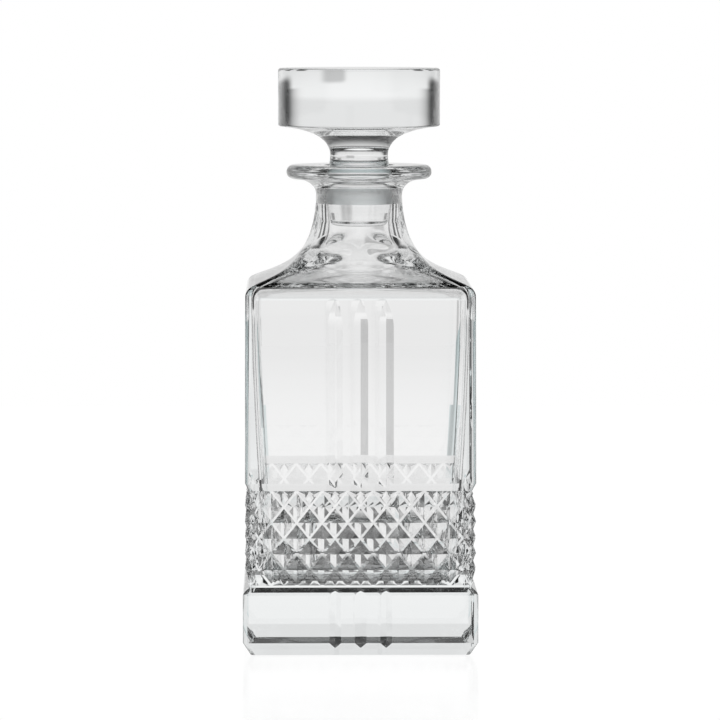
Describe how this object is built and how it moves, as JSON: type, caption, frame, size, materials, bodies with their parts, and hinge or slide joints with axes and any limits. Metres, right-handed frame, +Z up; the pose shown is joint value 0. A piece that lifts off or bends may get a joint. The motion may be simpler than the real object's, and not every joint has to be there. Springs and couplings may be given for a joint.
{
  "type": "decanter",
  "caption": "Square cut crystal decanter with a diamond band, fluted faces and a lift-out round glass stopper.",
  "frame": {"origin": "centre of the base, on the surface it stands on", "axes": "+Z up along the stopper's axis, -Y the front face, +X to the right seen from the front"},
  "size_m": [0.097, 0.097, 0.2412],
  "materials": {
    "decanter_glass": "clear cut crystal, ground inside the neck",
    "stopper_glass": "clear crystal, ground on the plug"
  },
  "bodies": {
    "decanter": {"decanter_body": "decanter_glass"},
    "stopper": {"stopper": "stopper_glass"}
  },
  "joints": [
    {"name": "stopper_lift", "type": "slide", "parent": "decanter", "child": "stopper", "axis": [0, 0, 1], "range_m": [0, 0.08]}
  ]
}
